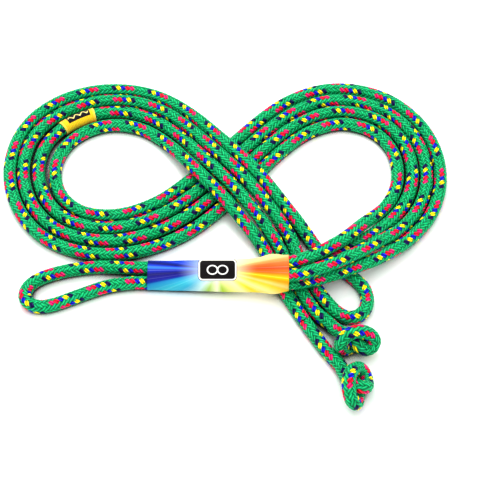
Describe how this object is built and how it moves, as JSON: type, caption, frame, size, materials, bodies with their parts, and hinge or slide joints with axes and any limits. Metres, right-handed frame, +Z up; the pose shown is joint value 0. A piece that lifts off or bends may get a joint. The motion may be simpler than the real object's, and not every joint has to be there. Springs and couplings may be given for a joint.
{
  "type": "skipping rope",
  "caption": "Long two-person skipping rope of multicolour braid with a knot at each end, coiled in a lying figure-eight and held by a printed paper band; a woven tag is sewn round one strand.",
  "frame": {"origin": "middle of the coil's footprint, on the surface it lies on", "axes": "+X along the length of the figure-eight towards the right loop, +Y away from the knots, +Z up out of the surface it lies on"},
  "size_m": [0.3869, 0.3306, 0.0309],
  "materials": {
    "cover_knot_2": "braided multicolour yarn",
    "core_knot_2": "loose filler yarn",
    "cover_tail_4": "braided multicolour yarn",
    "core_tail_4": "loose filler yarn",
    "cover_strand_4_middle": "braided multicolour yarn",
    "core_strand_4_middle": "loose filler yarn",
    "cover_strand_4_left_loop": "braided multicolour yarn",
    "core_strand_4_left_loop": "loose filler yarn",
    "cover_strand_4_crossing": "braided multicolour yarn",
    "core_strand_4_crossing": "loose filler yarn",
    "cover_strand_4_right_loop": "braided multicolour yarn",
    "core_strand_4_right_loop": "loose filler yarn",
    "cover_strand_4_banded": "braided multicolour yarn",
    "core_strand_4_banded": "loose filler yarn",
    "cover_bight_b": "braided multicolour yarn",
    "core_bight_b": "loose filler yarn",
    "cover_strand_1_banded": "braided multicolour yarn",
    "core_strand_1_banded": "loose filler yarn",
    "cover_strand_1_right_loop": "braided multicolour yarn",
    "core_strand_1_right_loop": "loose filler yarn",
    "cover_strand_1_crossing": "braided multicolour yarn",
    "core_strand_1_crossing": "loose filler yarn",
    "cover_strand_1_left_loop": "braided multicolour yarn",
    "core_strand_1_left_loop": "loose filler yarn",
    "cover_strand_1_middle": "braided multicolour yarn",
    "core_strand_1_middle": "loose filler yarn",
    "cover_bight_a": "braided multicolour yarn",
    "core_bight_a": "loose filler yarn",
    "cover_strand_2_middle": "braided multicolour yarn",
    "core_strand_2_middle": "loose filler yarn",
    "cover_strand_2_left_loop": "braided multicolour yarn",
    "core_strand_2_left_loop": "loose filler yarn",
    "cover_strand_2_crossing": "braided multicolour yarn",
    "core_strand_2_crossing": "loose filler yarn",
    "cover_strand_2_right_loop": "braided multicolour yarn",
    "core_strand_2_right_loop": "loose filler yarn",
    "cover_strands_2_3_banded": "braided multicolour yarn",
    "core_strands_2_3_banded": "loose filler yarn",
    "cover_strand_3_right_loop": "braided multicolour yarn",
    "core_strand_3_right_loop": "loose filler yarn",
    "cover_strand_3_crossing": "braided multicolour yarn",
    "core_strand_3_crossing": "loose filler yarn",
    "cover_strand_3_left_loop": "braided multicolour yarn",
    "core_strand_3_left_loop": "loose filler yarn",
    "cover_strand_3_middle": "braided multicolour yarn",
    "core_strand_3_middle": "loose filler yarn",
    "cover_knot_1": "braided multicolour yarn",
    "core_knot_1": "loose filler yarn",
    "melted_end_2": "melted yarn",
    "melted_end_1": "melted yarn",
    "paper_band": "printed coated paper",
    "band_glue": "dried glue",
    "woven_tag": "woven ribbon",
    "tag_stitching": "sewing thread"
  },
  "bodies": {
    "knot_2": {"cover_knot_2": "cover_knot_2", "core_knot_2": "core_knot_2", "melted_end_2": "melted_end_2"},
    "tail_4": {"cover_tail_4": "cover_tail_4", "core_tail_4": "core_tail_4"},
    "base": {"cover_strand_4_middle": "cover_strand_4_middle", "core_strand_4_middle": "core_strand_4_middle", "cover_strand_4_crossing": "cover_strand_4_crossing", "core_strand_4_crossing": "core_strand_4_crossing", "cover_strand_4_banded": "cover_strand_4_banded", "core_strand_4_banded": "core_strand_4_banded", "cover_strand_1_banded": "cover_strand_1_banded", "core_strand_1_banded": "core_strand_1_banded", "cover_strand_1_crossing": "cover_strand_1_crossing", "core_strand_1_crossing": "core_strand_1_crossing", "cover_strand_1_middle": "cover_strand_1_middle", "core_strand_1_middle": "core_strand_1_middle", "cover_strand_2_middle": "cover_strand_2_middle", "core_strand_2_middle": "core_strand_2_middle", "cover_strand_2_crossing": "cover_strand_2_crossing", "core_strand_2_crossing": "core_strand_2_crossing", "cover_strands_2_3_banded": "cover_strands_2_3_banded", "core_strands_2_3_banded": "core_strands_2_3_banded", "cover_strand_3_crossing": "cover_strand_3_crossing", "core_strand_3_crossing": "core_strand_3_crossing", "cover_strand_3_middle": "cover_strand_3_middle", "core_strand_3_middle": "core_strand_3_middle", "paper_band": "paper_band", "band_glue": "band_glue"},
    "left_loop": {"cover_strand_4_left_loop": "cover_strand_4_left_loop", "core_strand_4_left_loop": "core_strand_4_left_loop", "cover_strand_1_left_loop": "cover_strand_1_left_loop", "core_strand_1_left_loop": "core_strand_1_left_loop", "cover_strand_2_left_loop": "cover_strand_2_left_loop", "core_strand_2_left_loop": "core_strand_2_left_loop", "cover_strand_3_left_loop": "cover_strand_3_left_loop", "core_strand_3_left_loop": "core_strand_3_left_loop", "woven_tag": "woven_tag", "tag_stitching": "tag_stitching"},
    "right_loop": {"cover_strand_4_right_loop": "cover_strand_4_right_loop", "core_strand_4_right_loop": "core_strand_4_right_loop", "cover_strand_1_right_loop": "cover_strand_1_right_loop", "core_strand_1_right_loop": "core_strand_1_right_loop", "cover_strand_2_right_loop": "cover_strand_2_right_loop", "core_strand_2_right_loop": "core_strand_2_right_loop", "cover_strand_3_right_loop": "cover_strand_3_right_loop", "core_strand_3_right_loop": "core_strand_3_right_loop"},
    "bight_b": {"cover_bight_b": "cover_bight_b", "core_bight_b": "core_bight_b"},
    "bight_a": {"cover_bight_a": "cover_bight_a", "core_bight_a": "core_bight_a"},
    "tail_3": {"cover_knot_1": "cover_knot_1", "core_knot_1": "core_knot_1", "melted_end_1": "melted_end_1"}
  },
  "joints": [
    {"name": "left_loop_lift", "type": "hinge", "parent": "base", "child": "left_loop", "pos_m": [-0.06881, 0.07027, 0.01105], "axis": [0, 1, 0], "range_deg": [0, 35]},
    {"name": "right_loop_lift", "type": "hinge", "parent": "base", "child": "right_loop", "pos_m": [0.11825, 0.08072, 0.0115], "axis": [0.6, -0.8, 0], "range_deg": [0, 35]},
    {"name": "bight_b_lift", "type": "hinge", "parent": "base", "child": "bight_b", "pos_m": [-0.08672, -0.04017, 0.01164], "axis": [0, 1, 0], "range_deg": [0, 50]},
    {"name": "bight_a_lift", "type": "hinge", "parent": "base", "child": "bight_a", "pos_m": [0.09735, -0.05381, 0.01105], "axis": [-0.9057, -0.4239, 0], "range_deg": [0, 30]},
    {"name": "tail_3_lift", "type": "hinge", "parent": "base", "child": "tail_3", "pos_m": [0.069, -0.06406, 0.01105], "axis": [-0.8879, -0.46, 0], "range_deg": [0, 50]},
    {"name": "tail_4_swing", "type": "hinge", "parent": "base", "child": "tail_4", "pos_m": [0.05158, -0.07032, 0.00538], "axis": [0, 0, -1], "range_deg": [0, 25]},
    {"name": "knot_2_lift", "type": "hinge", "parent": "tail_4", "child": "knot_2", "pos_m": [0.07596, -0.09938, 0.01105], "axis": [-0.8287, -0.5598, 0], "range_deg": [0, 60]}
  ]
}
